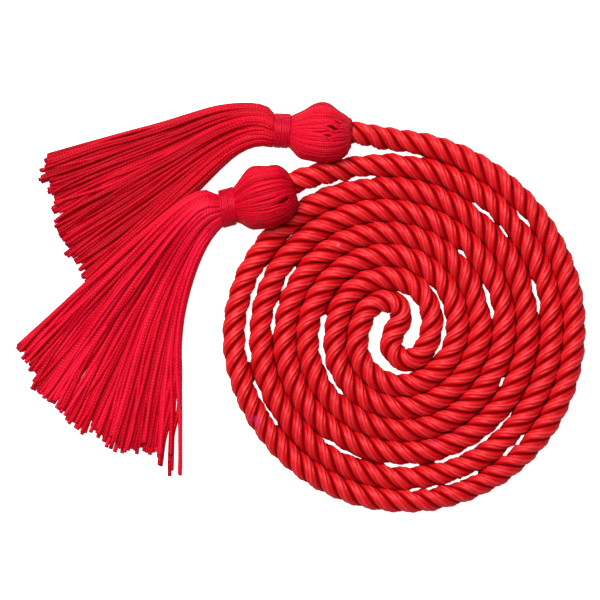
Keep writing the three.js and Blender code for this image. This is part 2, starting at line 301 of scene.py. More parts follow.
def splineThrough(knots, stepsPerSpan):
    # centripetal Catmull-Rom through every knot
    padded = [2 * knots[0] - knots[1], *knots, 2 * knots[-1] - knots[-2]]
    points = []
    for p0, p1, p2, p3 in zip(padded, padded[1:], padded[2:], padded[3:]):
        d0, d1, d2 = ((b - a).length ** 0.5 for a, b in ((p0, p1), (p1, p2), (p2, p3)))
        slope1 = ((p1 - p0) / d0 - (p2 - p0) / (d0 + d1) + (p2 - p1) / d1) * d1
        slope2 = ((p2 - p1) / d1 - (p3 - p1) / (d1 + d2) + (p3 - p2) / d2) * d1
        for i in range(stepsPerSpan):
            points.append(hermite(p1, p2, slope1, slope2, i / stepsPerSpan))
    points.append(knots[-1])
    return points


def evenPoints(points, count):
    # the same line with its points evenly spaced
    lengths = [0.0]
    for a, b in zip(points, points[1:]):
        lengths.append(lengths[-1] + (b - a).length)
    even = []
    index = 0
    for i in range(count):
        target = lengths[-1] * i / (count - 1)
        while index < len(points) - 2 and lengths[index + 1] < target:
            index += 1
        span = lengths[index + 1] - lengths[index]
        even.append(points[index].lerp(points[index + 1], (target - lengths[index]) / span))
    return even, lengths[-1]


def makeRoute(settings):
    armA = armPoints("a", settings)
    armB = list(reversed(armPoints("b", settings)))
    steer = 8  # how far along an arm the knot lies that steers a spline into it
    span = settings["stepsPerSpan"]
    upperEnd, middle, lowerEnd = (
        handPoints(rows, settings) for rows in (upperEndPoints, middlePoints, lowerEndPoints))
    points = splineThrough([*upperEnd, armA[0], armA[steer]], span)[:-span - 1]
    points += armA
    knots = [armA[-1 - steer], armA[-1], *middle, armB[0], armB[steer]]
    points += splineThrough(knots, span)[span + 1:-span - 1]
    points += armB
    points += splineThrough([armB[-1 - steer], armB[-1], *lowerEnd], span)[span + 1:]
    route, length = evenPoints(points, settings["rings"])
    for _ in range(6):  # round off the joins of the stretches
        inner = [(a + b * 2 + c) / 4 for a, b, c in zip(route, route[1:], route[2:])]
        route = [route[0], *inner, route[-1]]
    for point in route:
        point.z = max(point.z, settings["radius"])
    return route, length


def strandRadius(share, settings):
    # the cord's outline over one strand: three plies side by side, with a deep valley at each end
    angle = (share - 0.5) * 2 * math.pi / settings["strands"]
    offset = settings["crownOffset"] * settings["ridgeRadius"]
    radius = settings["crownRadius"] * settings["ridgeRadius"]
    crown = offset * math.cos(angle) + math.sqrt(radius ** 2 - (offset * math.sin(angle)) ** 2)
    edge = min(share, (1 - share) * 0.85)  # the far flank falls a little more gently
    crown -= math.exp(-(edge / settings["valleyWidth"]) ** 2) * settings["valleyDepth"]
    for at, depth in settings["plyGrooves"]:
        crown -= math.exp(-((share - at) / settings["grooveWidth"]) ** 2) * depth
    return crown


def alongMark(point, start, end):
    # share of the way between two marks in the photo, where the point lies beside that way
    centreX, centreY = cameraSettings["coilCentre"]
    scale = cameraSettings["millimetresPerPixel"] * mm
    a, b = (Vector(((x - centreX) * scale, (centreY - y) * scale)) for x, y in (start, end))
    share = (point.xy - a).dot(b - a) / (b - a).length_squared
    beside = 0 < share < 1 and (a.lerp(b, share) - point.xy).length < cordSettings["markReach"]
    return share if beside else None


def sliverWidth(point):
    # tapered towards both ends of a sliver
    width = 0
    for start, end, most in slivers:
        share = alongMark(point, start, end)
        if share:
            width = max(width, min(6 * share * (1 - share), 1) * most * mm)
    return width


def sideRoom(route, settings):
    # for each side of the cord: half the distance to the next turn, how fully the space between
    # the strands is closed, and how far the side draws in
    tree = kdtree.KDTree(len(route))
    for i, point in enumerate(route):
        tree.insert(point, i)
    tree.balance()
    spacing = (route[1] - route[0]).length
    apart = round(2 * settings["turnPitch"] / spacing)
    rooms = []
    for i, point in enumerate(route):
        tangent, side, _ = directions(route, i)
        room = {1: settings["turnPitch"], -1: settings["turnPitch"]}
        for other, index, distance in tree.find_range(point, 1.25 * settings["turnPitch"]):
            if abs(index - i) > apart and abs((other - point).dot(tangent)) < 2 * spacing:
                way = 1 if (other - point).dot(side) > 0 else -1
                room[way] = min(room[way], distance / 2 + settings["overlap"])
        closed, drawnIn = {}, {1: 0, -1: 0}
        for way in (1, -1):
            closed[way] = 1 - smoothStep(room[way], *settings["pressing"])
            seam = point + side * (way * room[way])
            width = sliverWidth(seam)
            if width:
                # the strands' crests stand in the sliver, and their valleys open it
                opened = smoothStep(width, 0, settings["sliverOpening"])
                room[way] -= (settings["overlap"] + settings["sliverCut"] * width) * opened
                closed[way] *= 1 - 0.9 * opened
                drawnIn[way] = max(settings["ridgeRadius"] - room[way], 0) * opened
            elif room[way] < settings["touchWithin"]:
                if any(alongMark(seam, *marks) for marks in touching):
                    closed[way] = 1
        rooms.append((room, closed, drawnIn))
    return rooms


def pressed(settings, angles, radii, room, closed, drawnIn):
    # turns that lie close keep their strands' outline above, and are pressed together below; it also
    # gives how much painted shade each corner gets in their seam
    poke = settings["poke"]
    result, paintedSeamShade = [], []
    for angle, radius in zip(angles, radii):
        x = math.cos(angle) * radius
        way = 1 if x > 0 else -1
        below = 1 - smoothStep(math.sin(angle), -0.3, 0.2)
        aside = smoothStep(abs(math.cos(angle)), 0.55, 0.9)
        x -= way * drawnIn[way] * aside
        x = mix(x, way * room[way], aside * below * closed[way])
        result.append(max(min(x, room[1] + poke), -room[-1] - poke))
        # the seam between pressed turns gets painted shade, which darkens the colour there
        shaded = max(closed[way], 1 - smoothStep(room[way], *settings["shading"]))
        paintedSeamShade.append(aside * below * shaded)
    return result, paintedSeamShade


def makeCord(settings, material):
    route, length = makeRoute(settings)
    rooms = sideRoom(route, settings)
    sides = settings["strands"] * settings["pointsPerStrand"]
    radii = [strandRadius(i / settings["pointsPerStrand"] % 1, settings) for i in range(sides)]
    deepest, highest = min(radii), max(radii)
    template = makeTubeTemplate(sides, settings["rings"])
    last = settings["rings"] - 1
    paintedSeamShade = [None] * settings["rings"]

    def placeRing(share):
        i = round(share * last)
        _, side, up = directions(route, i)
        twist = 2 * math.pi * share * length / settings["layLength"]
        twist += noise.noise(Vector((share * 30, 4.2, 0))) * settings["twistDrift"]
        full = [1 + settings["fullnessDrift"] * noise.noise(Vector((share * 110, strand * 3.1, 8)))
                for strand in range(settings["strands"])]
        angles = [2 * math.pi * j / sides + twist for j in range(sides)]
        swollen = []
        for j, radius in enumerate(radii):
            strand, part = divmod(j / settings["pointsPerStrand"] - 0.5, 1)
            first, second = (full[(int(strand) + k) % settings["strands"]] for k in (0, 1))
            swollen.append(radius * mix(first, second, smoothStep(part, 0.3, 0.7)))
        offsets, paintedSeamShade[i] = pressed(settings, angles, swollen, *rooms[i])
        corners = []
        for x, angle, radius in zip(offsets, angles, swollen):
            corner = route[i] + side * x + up * (math.sin(angle) * radius)
            corner.z = max(corner.z, 0)
            corners.append(corner)
        return corners

    bm = bmesh.new()
    bm.verts.layers.float.new("paintedLight")

    def paintedLight(share, side):
        # painted light and shade: 1 on a ply's crest, painted lit, 0 in a valley or a seam, painted shade
        height = (radii[side] - deepest) / (highest - deepest)
        # one flank of each strand is painted a little darker, as shade on the side away from the light
        paintedFlankShade = smoothStep(side / settings["pointsPerStrand"] % 1, 0.72, 0.95)
        # and the seams between pressed turns are painted in shade
        return height * (1 - 0.15 * paintedFlankShade) * (1 - 0.8 * paintedSeamShade[round(share * last)][side])

    bendTube(bm, template, placeRing, length / mm, {"paintedLight": paintedLight})
    cord = makeObject("twisted_cord", bm, material)
    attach(cord, "root")
    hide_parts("cord")
    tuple(route[0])
    print(f"cord made, {length:.3f} m")


# materials

def linearColour(code):
    # an sRGB hex code as linear light
    values = [int(code[i:i + 2], 16) / 255 for i in (0, 2, 4)]
    linear = [v / 12.92 if v <= 0.04045 else ((v + 0.055) / 1.055) ** 2.4 for v in values]
    return (*linear, 1.0)


def addNode(tree, kind, settings=None, links=None):
    # settings name sockets or properties, links give the output socket that feeds an input
    node = tree.nodes.new(kind)
    for name, value in (settings or {}).items():
        if isinstance(name, int) or name in node.inputs:
            node.inputs[name].default_value = value
        else:
            setattr(node, name, value)
    for name, socket in (links or {}).items():
        tree.links.new(socket, node.inputs[name])
    return node


def addMath(tree, operation, *values):
    # a value is a number, or the output socket that feeds its input
    node = addNode(tree, "ShaderNodeMath", {"operation": operation})
    for index, value in enumerate(values):
        if isinstance(value, (int, float)):
            node.inputs[index].default_value = value
        else:
            tree.links.new(value, node.inputs[index])
    return node.outputs[0]


def addNoise(tree, vector, scale, detail=2, roughness=0.5):
    settings = {"Scale": scale, "Detail": detail, "Roughness": roughness}
    return addNode(tree, "ShaderNodeTexNoise", settings, {"Vector": vector}).outputs["Fac"]


def readAttribute(tree, name):
    return addNode(tree, "ShaderNodeAttribute", {"attribute_name": name}).outputs["Fac"]


def readMap(tree):
    return addNode(tree, "ShaderNodeUVMap", {"uv_map": "UVMap"}).outputs["UV"]


def readPlace(tree):
    return addNode(tree, "ShaderNodeTexCoord").outputs["Object"]


def startMaterial(name):
    material = bpy.data.materials.new(name)
    material.use_nodes = True
    material.node_tree.nodes.clear()
    return material, material.node_tree


def addRamp(tree, source, stops):
    ramp = addNode(tree, "ShaderNodeValToRGB", links={"Fac": source})
    elements = ramp.color_ramp.elements
    while len(elements) < len(stops):
        elements.new(0.5)
    for element, (position, code) in zip(elements, stops):
        element.position = position
        element.color = linearColour(code)
    return ramp.outputs["Color"]


def finishMaterial(tree, settings, links, height, bumpDistance):
    bump = addNode(tree, "ShaderNodeBump", {"Distance": bumpDistance}, {"Height": height})
    shader = addNode(tree, "ShaderNodeBsdfPrincipled", settings,
                     {**links, "Normal": bump.outputs["Normal"]})
    addNode(tree, "ShaderNodeOutputMaterial", links={"Surface": shader.outputs["BSDF"]})


# Twisted rayon, spun from bright filament. Its colour paints light and shade: long painted highlights
# along each ply's crest, and painted shade, deep red, in the valleys between the strands and in the seams
# between turns.
rayonSettings = {
    # the seam, valley and flank colours are painted shade; the ridge and glint colours are painted
    # highlights
    "seam": "4C0810", "paintedValleyShade": "900005", "paintedFlankShade": "BE0911", "paintedLight": "CF171E", "paintedGlint": "E23238",
    "filamentsAround": 110,  # drawn coarser than the real ones, to show
    "filamentShow": 0.64,  # how much of the shade they carry
    "gleam": 0.9,
    "shader": {"Roughness": 0.38, "Specular Tint": linearColour("FF8488")},
    # small marks of pink and violet dye: place, reach in metres, colour and strength
    "stains": [
        ((-0.0468, -0.0305, 0.0075), 0.0028, "C63068", 0.62),
        ((0.0123, -0.0374, 0.0065), 0.0019, "C41048", 0.7),
        ((0.0197, -0.0338, 0.0065), 0.0020, "A01C58", 0.85),
        ((-0.0193, 0.028, 0.0075), 0.0008, "F0647C", 0.75),
    ],
}


def addStains(tree, place, colour, stains):
    # soft blots with a wandering edge
    ragged = addNoise(tree, place, 900)
    for centre, reach, code, strength in stains:
        distance = addNode(tree, "ShaderNodeVectorMath", {"operation": "DISTANCE", 1: centre}, {0: place})
        edge = addMath(tree, "MULTIPLY_ADD", ragged, reach, -0.5 * reach)
        cover = addNode(tree, "ShaderNodeMapRange", {
            "interpolation_type": "SMOOTHSTEP", "From Min": reach, "From Max": 0.3 * reach,
            "To Max": strength}, {"Value": addMath(tree, "ADD", distance.outputs["Value"], edge)})
        colour = addNode(tree, "ShaderNodeMixRGB", {"Color2": linearColour(code)},
                         {"Fac": cover.outputs[0], "Color1": colour}).outputs[0]
    return colour


def makeRayon(settings):
    material, tree = startMaterial("twisted_bright_rayon")
    place = readPlace(tree)
    paintedLight = readAttribute(tree, "paintedLight")
    # filaments: noise drawn out along the strand
    stretch = addNode(tree, "ShaderNodeMapping", {"Scale": (settings["filamentsAround"], 0.35, 1)},
                      {"Vector": readMap(tree)})
    filament = addNoise(tree, stretch.outputs["Vector"], 1.0, 3, 0.6)
    show = settings["filamentShow"]
    grain = addMath(tree, "MULTIPLY_ADD", filament, show, -0.5 * show)
    # the painted light value, with the filaments' own grain, picks the colour: painted shade low, painted
    # highlights high
    colour = addRamp(tree, addMath(tree, "ADD", paintedLight, grain), [
        (0.0, settings["seam"]), (0.2, settings["paintedValleyShade"]), (0.55, settings["paintedFlankShade"]),
        (0.82, settings["paintedLight"]), (1.0, settings["paintedGlint"])])
    # slow changes of dye along the cord
    uneven = addNode(tree, "ShaderNodeMapRange", {"To Min": 0.9, "To Max": 1.08},
                     {"Value": addNoise(tree, place, 60)})
    tinted = addNode(tree, "ShaderNodeVectorMath", {"operation": "SCALE"},
                     {0: colour, "Scale": uneven.outputs[0]})
    stained = addStains(tree, place, tinted.outputs[0], settings["stains"])
    # the valleys are too deep to catch a gleam
    gleam = addNode(tree, "ShaderNodeMapRange", {
        "From Min": 0.3, "From Max": 0.75, "To Max": settings["gleam"]}, {"Value": paintedLight})
    finishMaterial(tree, settings["shader"],
                   {"Base Color": stained, "Specular IOR Level": gleam.outputs[0]},
                   filament, 0.12 * mm)
    return material


# Chainette, a knitted viscose yarn: a chain of small stitches that sparkles in dots,
# pinker than the cord.
chainetteSettings = {
    "dark": "900009", "body": "C80520", "light": "EA1C42", "cutEnd": "A81240",
    "stitch": 0.95,  # mm
    "columns": 4,
    "stitchShow": 0.44,  # how much of the shade the stitches carry
    "shader": {"Roughness": 0.4, "Specular IOR Level": 0.3, "Specular Tint": linearColour("FF8494")},
}


def makeChainette(settings):
    material, tree = startMaterial("viscose_chainette")
    place = readPlace(tree)
    split = addNode(tree, "ShaderNodeSeparateXYZ", links={"Vector": readMap(tree)})
    toneAndPaintedLight, tip = readAttribute(tree, "toneAndPaintedLight"), readAttribute(tree, "tip")
    # slanting stitches in columns round the yarn, leaning left and right by turns
    column = addMath(tree, "MULTIPLY", split.outputs["X"], settings["columns"])
    lean = addMath(tree, "PINGPONG", column, 1.0)
    start = addMath(tree, "MULTIPLY", toneAndPaintedLight, 7.0)  # so that neighbours' stitches don't line up
    along = addMath(tree, "MULTIPLY_ADD", split.outputs["Y"], 1 / settings["stitch"], start)
    wave = addMath(tree, "PINGPONG", addMath(tree, "MULTIPLY_ADD", lean, 0.55, along), 0.5)
    stitch = addNode(tree, "ShaderNodeMapRange", {"interpolation_type": "SMOOTHSTEP", "From Max": 0.4},
                     {"Value": wave})
    # the filaments of each stitch, and slow changes of dye and lay
    fuzz = addNoise(tree, place, 1500)
    drift = addNoise(tree, place, 45)
    broken = addMath(tree, "MULTIPLY", stitch.outputs[0], fuzz)
    shade = toneAndPaintedLight
    for share, source in ((2 * settings["stitchShow"], broken), (0.3, fuzz), (0.5, drift)):
        shade = addMath(tree, "MULTIPLY_ADD", source, share, shade)
    # the ramp's dark end colours the head's core as painted shade, and the value raised near the neck
    # reaches towards its light end as a painted highlight
    colour = addRamp(tree, addMath(tree, "MULTIPLY", shade, 0.5), [
        (0.16, settings["dark"]), (0.55, settings["body"]), (0.95, settings["light"])])
    cut = addNode(tree, "ShaderNodeMixRGB", {"Color2": linearColour(settings["cutEnd"])},
                  {"Fac": tip, "Color1": colour})
    finishMaterial(tree, settings["shader"], {"Base Color": cut.outputs[0]}, broken, 0.14 * mm)
    return material


# Viscose sewing thread, twisted and wound tight: a fine even rib with a silky gleam.
threadSettings = {
    "dark": "8C000E", "light": "D20A2E",
    "shader": {"Roughness": 0.4, "Specular IOR Level": 0.6, "Specular Tint": linearColour("FF7084")},
}


def makeThread(settings):
    material, tree = startMaterial("viscose_thread")
    # plies that cross the thread at a slant, drawn out along it
    turned = addNode(tree, "ShaderNodeMapping", {"Rotation": (0, 0, 0.3), "Scale": (9, 0.8, 1)},
                     {"Vector": readMap(tree)})
    ply = addNoise(tree, turned.outputs["Vector"], 1.0, 3)
    colour = addRamp(tree, ply, [(0.34, settings["dark"]), (0.62, settings["light"])])
    finishMaterial(tree, settings["shader"], {"Base Color": colour}, ply, 0.1 * mm)
    return material


# tassels, repeated from the part's source

tasselSettings = {
    "mouthHeight": 7.6 * mm, "axisHeight": 9.6 * mm, "neckHeight": 6.4 * mm,
    "headLength": 19.8 * mm, "headRadius": 10.3 * mm,
    "bindingStart": 20.1 * mm, "bindingWidth": 5.8 * mm, "bindingOuter": 5.95 * mm,
    "neckRadius": 4.7 * mm, "fringeStart": 26.2 * mm, "fringeMouth": 10.4 * mm,
    "fringeLength": 83 * mm, "fringeThickness": 3.4 * mm,
    "restClearance": 0.6 * mm, "restMargin": 1.5 * mm, "restSlope": 14 * mm,
    "yarnRadius": 0.7 * mm, "yarnRings": 34,
    "neckRings": 5,  # rings of each yarn that lie in the neck
    "neckFill": 0.88,  # share of the neck's width that the yarns' middles take up
    "neckYarn": 0.9,  # the yarns are pressed thinner there
    # the fan's lower yarns stay spread out and fill its floor, the upper ones wander more
    "floorLevel": 0.42, "floorWander": 0.007, "wander": 0.07, "floorFullness": 1.1,
    "tipUneven": (-0.05, 0.008, 0.0),  # least, most and likeliest change of a yarn's reach
    "slitReach": 0.03,  # how far across the fan a slit pushes the yarns
    "headYarns": 76, "headYarnRadius": 0.6 * mm,
    "bulgeLength": 0.14,  # share of the head's length
    "partingReach": 2.4 * mm,  # how far round the head a gap pushes the yarns
    "bindingTurns": 9, "bindingPointsPerTurn": 36,
}
goldenShare = 0.618034  # steps of this share fill a range evenly

upperTassel = {
    "name": "upper", "mouth": (-2.0, 8.64), "heading": 177, "headShare": 0.975, "lengthShare": 0.97,
    "bindingShare": 1.0,
    "yarns": 118, "locks": 19, "seed": 3, "tone": (-0.45, 0.35), "bindingTurn": -1,
    "fan": [
        {"at": 0, "outer": 112, "inner": 165}, {"at": 0.05, "outer": 160, "inner": 184},
        {"at": 0.1, "outer": 176, "inner": 203}, {"at": 0.2, "outer": 186, "inner": 222},
        {"at": 0.3, "outer": 196, "inner": 226}, {"at": 0.45, "outer": 197, "inner": 227},
        {"at": 0.6, "outer": 195, "inner": 226}, {"at": 1, "outer": 196, "inner": 225},
    ],
    # how far the tips reach, by spread across the fan
    "tips": [
        {"at": 0, "reach": 0.985}, {"at": 0.05, "reach": 1.0}, {"at": 0.15, "reach": 1.0},
        {"at": 0.6, "reach": 1.01}, {"at": 0.72, "reach": 0.99}, {"at": 1, "reach": 0.99},
    ],
    # slits between the yarns: spread and share of the middle, length and half the width
    "slits": [(0.04, 0.62, 0.09, 0.013), (0.41, 1.02, 0.06, 0.014), (0.1, 1.02, 0.05, 0.01)],
    # fuller places of the head: share from the mouth, turn and spread in degrees, and height
    "bulges": [
        (0.06, 180, 50, -0.2 * mm), (0.22, 180, 50, -1.5 * mm), (0.8, 180, 50, -0.8 * mm),
        (0.05, 0, 50, 0.9 * mm), (0.85, 0, 60, 1.4 * mm),
    ],
    # gaps between the head's yarns: distance from the mouth, turn round the head in degrees,
    # length and width of the gap
    "partings": [
        (5.0 * mm, 109, 4.0 * mm, 1.3 * mm), (6.4 * mm, 98, 4.4 * mm, 1.6 * mm),
        (7.7 * mm, 85, 3.6 * mm, 1.4 * mm),
    ],
}
lowerTassel = {
    "name": "lower", "mouth": (-4.51, 6.18), "heading": 194.8, "headShare": 1.03, "lengthShare": 1.03,
    "bindingShare": 1.1,
    "yarns": 162, "locks": 24, "seed": 8, "tone": (-0.05, 0.8), "bindingTurn": -8,
    "fan": [
        {"at": 0, "outer": 136, "inner": 222}, {"at": 0.05, "outer": 190, "inner": 232},
        {"at": 0.1, "outer": 211, "inner": 241}, {"at": 0.2, "outer": 218, "inner": 250},
        {"at": 0.3, "outer": 221, "inner": 256.5}, {"at": 0.45, "outer": 221, "inner": 265},
        {"at": 0.6, "outer": 222, "inner": 269.5}, {"at": 1, "outer": 222, "inner": 270.5},
    ],
    "tips": [
        {"at": 0, "reach": 1.005}, {"at": 0.13, "reach": 1.015}, {"at": 0.22, "reach": 1.035},
        {"at": 0.43, "reach": 1.035}, {"at": 0.52, "reach": 1.02}, {"at": 0.7, "reach": 1.03},
        {"at": 0.78, "reach": 0.975}, {"at": 0.92, "reach": 0.975}, {"at": 0.98, "reach": 1.015},
        {"at": 1, "reach": 0.975},
    ],
    "slits": [(0.925, 0.96, 0.25, 0.025), (0.972, 0.9, 0.22, 0.022)],
    "bulges": [
        (0.14, 180, 50, 0.7 * mm), (0.36, 180, 50, -0.5 * mm), (0.64, 180, 60, 0.8 * mm),
        (0.35, 0, 50, -0.5 * mm), (0.88, 0, 60, 1.5 * mm),
    ],
    "partings": [(4.4 * mm, 68, 4.8 * mm, 1.8 * mm)],
}

# the head from its mouth to the neck, with the lip that turns in around the cord first
headProfile = [
    {"at": 0, "radius": 0.42, "height": 0}, {"at": 0.07, "radius": 0.62, "height": 0.35},
    {"at": 0.18, "radius": 0.83, "height": 0.75}, {"at": 0.33, "radius": 0.96, "height": 1},
    {"at": 0.5, "radius": 1, "height": 1}, {"at": 0.66, "radius": 0.93, "height": 0.9},
    {"at": 0.82, "radius": 0.77, "height": 0.6}, {"at": 0.93, "radius": 0.62, "height": 0.25},
    {"at": 1, "radius": 0.53, "height": 0},
]
# the fringe from the neck to its tips: thickness in shares of that at the tips, and how far it
# has settled from the round neck onto the floor
fringeProfile = [
    {"at": 0, "thickness": 2.6, "settle": 0}, {"at": 0.08, "thickness": 2.4, "settle": 0.3},
    {"at": 0.2, "thickness": 1.9, "settle": 0.8}, {"at": 0.35, "thickness": 1.45, "settle": 1},
    {"at": 0.6, "thickness": 1.15, "settle": 1}, {"at": 1, "thickness": 1, "settle": 1},
]


def placeAlong(tassel, distance, across, z):
    # distance from the mouth, along the tassel
    x, y = tassel["mouth"]
    pitch = cordSettings["turnPitch"]
    heading = tassel["heading"]
    return Vector((x * pitch, y * pitch, z)) + polar(distance, heading) + polar(across, heading + 90)


def makeFanGrid(tassel, settings, columns=48, rows=48):
    # plan places by spread across the fan and share along it
    grid = []
    step = tassel["lengthShare"] * settings["fringeLength"] / rows
    for column in range(columns + 1):
        spread = column / columns
        across = (spread - 0.5) * settings["fringeMouth"]
        point = placeAlong(tassel, settings["fringeStart"], across, 0)
        line = [point]
        for row in range(rows):
            at = (row + 0.5) / rows
            outer, inner = readTable(tassel["fan"], at, "outer"), readTable(tassel["fan"], at, "inner")
            point = point + polar(step, mix(outer, inner, spread))
            line.append(point)
        grid.append(line)
    return grid


def readGrid(grid, spread, share):
    columns, rows = len(grid) - 1, len(grid[0]) - 1
    column = min(max(int(spread * columns), 0), columns - 1)
    row = min(max(int(share * rows), 0), rows - 1)
    x, y = spread * columns - column, share * rows - row
    near = grid[column][row].lerp(grid[column][row + 1], y)
    far = grid[column + 1][row].lerp(grid[column + 1][row + 1], y)
    return near + (far - near) * x


def distanceOutside(outline, point):
    # from a closed outline to a point beyond it
    inside = False
    nearest = 1.0
    for a, b in zip(outline, outline[1:] + outline[:1]):
        if (a.y > point.y) != (b.y > point.y):
            if a.x + (b.x - a.x) * (point.y - a.y) / (b.y - a.y) > point.x:
                inside = not inside
        edge = b - a
        share = min(max((point - a).dot(edge) / edge.length_squared, 0), 1)
        nearest = min(nearest, (a + edge * share - point).length)
    return 0 if inside else nearest


def fringeHeight(share, settings):
    return readTable(fringeProfile, share, "thickness") * settings["fringeThickness"]


def restHeight(point, lyingUnder, settings):
    # the height of the other tassel's fringe where this one lies over it
    if lyingUnder is None:
        return 0
    flat = Vector((point.x, point.y, 0))
    away = distanceOutside(lyingUnder["outline"], flat)
    margin = settings["restMargin"]
    cover = 1 - smoothStep(away, margin, margin + settings["restSlope"])
    share = (lyingUnder["neck"] - flat).length / settings["fringeLength"]
    return cover * (fringeHeight(share, settings) + settings["restClearance"])


def gathered(spread, share, locks, seed):
    # yarns gather into locks below the neck, and the locks drift a little
    drift = noise.noise(Vector((spread * 7, share * 1.3, seed))) * 0.022 * smoothStep(share, 0.05, 0.6)
    lock = math.floor(spread * locks) + 0.5
    tight = 0.38 * smoothStep(share, 0.08, 0.35) * (1 - 0.6 * smoothStep(share, 0.6, 1))
    return mix(spread, lock / locks, tight) + drift


def startYarns():
    # each yarn carries its tone, with a painted highlight at the fringe's neck and painted shade in the
    # head's core, and where it is cut
    bm = bmesh.new()
    for name in ("toneAndPaintedLight", "tip"):
        bm.verts.layers.float.new(name)
    return bm


def roundness(spread):
    # how high a circle stands over its middle line, in radii, by spread across it
    return math.sqrt(max(1 - (2 * spread - 1) ** 2, 0))


def neckPoint(tassel, settings, spread, packed, share):
    # share runs from the binding's inside to the fringe
    distance = mix(settings["bindingStart"] + 1 * mm, settings["fringeStart"], share)
    across = (spread - 0.5) * settings["fringeMouth"] * settings["neckFill"]
    chord = roundness(spread) * (settings["neckRadius"] - settings["yarnRadius"])
    return placeAlong(tassel, distance, across, settings["neckHeight"] + (2 * packed - 1) * chord)


def makeFringe(tassel, settings, grid, lyingUnder, material):
    count, neckRings = settings["yarnRings"], settings["neckRings"]
    template = makeTubeTemplate(sides=7, rings=count)
    dice = random.Random(tassel["seed"])
    bm = startYarns()
    seed = tassel["seed"] * 3.7
    for index in range(tassel["yarns"]):
        spread = (index + 0.5 + dice.uniform(-0.35, 0.35)) / tassel["yarns"]
        level = (index * goldenShare + dice.uniform(-0.08, 0.08)) % 1
        upper = level > settings["floorLevel"]
        packed = 1 - (1 - level) ** 2 if upper else level  # the neck's top is closely packed
        phase = dice.uniform(0, 50)
        lock = math.floor(spread * tassel["locks"])
        reach = readTable(tassel["tips"], spread, "reach") + dice.triangular(*settings["tipUneven"])
        reach += noise.noise(Vector((lock * 0.77, 3.1, seed))) * 0.035
        toneAndPaintedLight = dice.uniform(*tassel["tone"])
        wander = settings["wander" if upper else "floorWander"]
        fullness = 1 if upper else settings["floorFullness"]
        locks = tassel["locks"] if upper else 1e6  # as good as no locks

        def lie(share):
            own = noise.noise(Vector((share * 2.1, phase, seed))) * wander * smoothStep(share, 0.02, 0.5)
            return gathered(spread, share, locks, seed) + own

        # a yarn passes a slit on the side on which it lies at the slit's middle
        sides = [math.copysign(1, lie(middle) - at) for at, middle, _, _ in tassel["slits"]]
        centres, radii = [], []
        for i in range(count):
            if i < neckRings:
                centres.append(neckPoint(tassel, settings, spread, packed, i / neckRings))
                radii.append(settings["yarnRadius"] * settings["neckYarn"])
                continue
            share = min((i - neckRings) / (count - 2 - neckRings), 1) * reach
            if i == count - 1:  # the cut end
                share += 0.006
            across = lie(share)
            for (at, middle, length, width), side in zip(tassel["slits"], sides):
                beside = (across - at) / settings["slitReach"]
                fade = math.exp(-((share - middle) / length) ** 2 - beside ** 2)
                across += side * width * fade
            point = readGrid(grid, min(max(across, 0.004), 0.996), share)
            settle = readTable(fringeProfile, share, "settle")
            halfChord = 0.5 * settings["fringeMouth"] * roundness(spread)
            low = max(mix(settings["neckHeight"] - halfChord, 0, settle),
                      restHeight(point, lyingUnder, settings))
            thickness = mix(2 * halfChord, fringeHeight(share, settings), settle)
            fuller = mix(settings["neckYarn"], fullness, smoothStep(share, 0, 0.4))
            radius = settings["yarnRadius"] * fuller
            lift = noise.noise(Vector((share * 4, phase + 9, seed))) * 0.14
            # each lock lies higher or lower than its neighbours
            lift += (0.35 * (lock * goldenShare % 1) - 0.25) * upper * smoothStep(share, 0.05, 0.3)
            height = min(max(mix(packed, level, smoothStep(share, 0, 0.35)) + lift, 0), 1)
            point.z = low + radius + max(thickness - 2 * radius, 0) * height
            centres.append(point)
            radii.append(radius)
        radii[-1] *= 0.88
        # near the neck each yarn's value is raised by 0.2: a painted highlight where the yarns curve up
        # towards the light
        addYarn(bm, template, centres, radii, {
            "toneAndPaintedLight": lambda share, side: toneAndPaintedLight + 0.2 * (1 - smoothStep(share, 0.2, 0.5)),
            "tip": lambda share, side: share == 1})
    return makeObject(f"{tassel['name']}_tassel_fringe", bm, material)


def headPoint(tassel, settings, share, angle, inset):
    radius = smoothTable(headProfile, share, "radius") * tassel["headShare"] * settings["headRadius"]
    for at, turn, spread, bulge in tassel["bulges"]:
        aside = (angle - math.radians(turn) + math.pi) % (2 * math.pi) - math.pi
        along = (share - at) / settings["bulgeLength"]
        radius += bulge * math.exp(-along ** 2 - (aside / math.radians(spread)) ** 2)
    radius -= inset
    rise = readTable(headProfile, share, "height")
    base = settings["mouthHeight"] if share < 0.5 else settings["neckHeight"]
    height = mix(base, settings["axisHeight"], rise)
    z = height + math.sin(angle) * radius
    return placeAlong(tassel, share * settings["headLength"], math.cos(angle) * radius, z)


def parted(tassel, settings, share, start, angle, radius):
    # a yarn bends aside round the gaps, always to the side that it started on
    for distance, turn, length, width in tassel["partings"]:
        along = (share * settings["headLength"] - distance) / (length / 2)
        aside = (start - math.radians(turn) + math.pi) % (2 * math.pi) - math.pi
        if abs(along) < 1:
            fade = math.exp(-(aside * radius / settings["partingReach"]) ** 2)
            angle += math.copysign((1 - along * along) ** 1.5 * fade * width / 2 / radius, aside)
    return angle


def addPaintedShadeCore(bm, tassel, settings):
    # a dark filling that is painted shade inside the head, seen only through the gaps between the yarns
    template = makeTubeTemplate(sides=24, rings=12)
    inset = 3 * settings["headYarnRadius"]

    def placeRing(share):
        ring = []
        for i in range(template["sides"]):
            angle = 2 * math.pi * i / template["sides"]
            point = headPoint(tassel, settings, mix(0.05, 0.98, share), angle, inset)
            point.z = max(point.z, 0.8 * mm)
            ring.append(point)
        return ring

    # a value far below every yarn's, so the core takes the ramp's darkest colour as painted shade
    bendTube(bm, template, placeRing, settings["headLength"] / mm, {"toneAndPaintedLight": -2.0, "tip": 0.0})


# where each yarn starts inside the mouth: share of the head's length and of its radius
headLip = [(0.1, 0.405), (0.03, 0.4), (0.0, 0.44), (0.03, 0.52)]


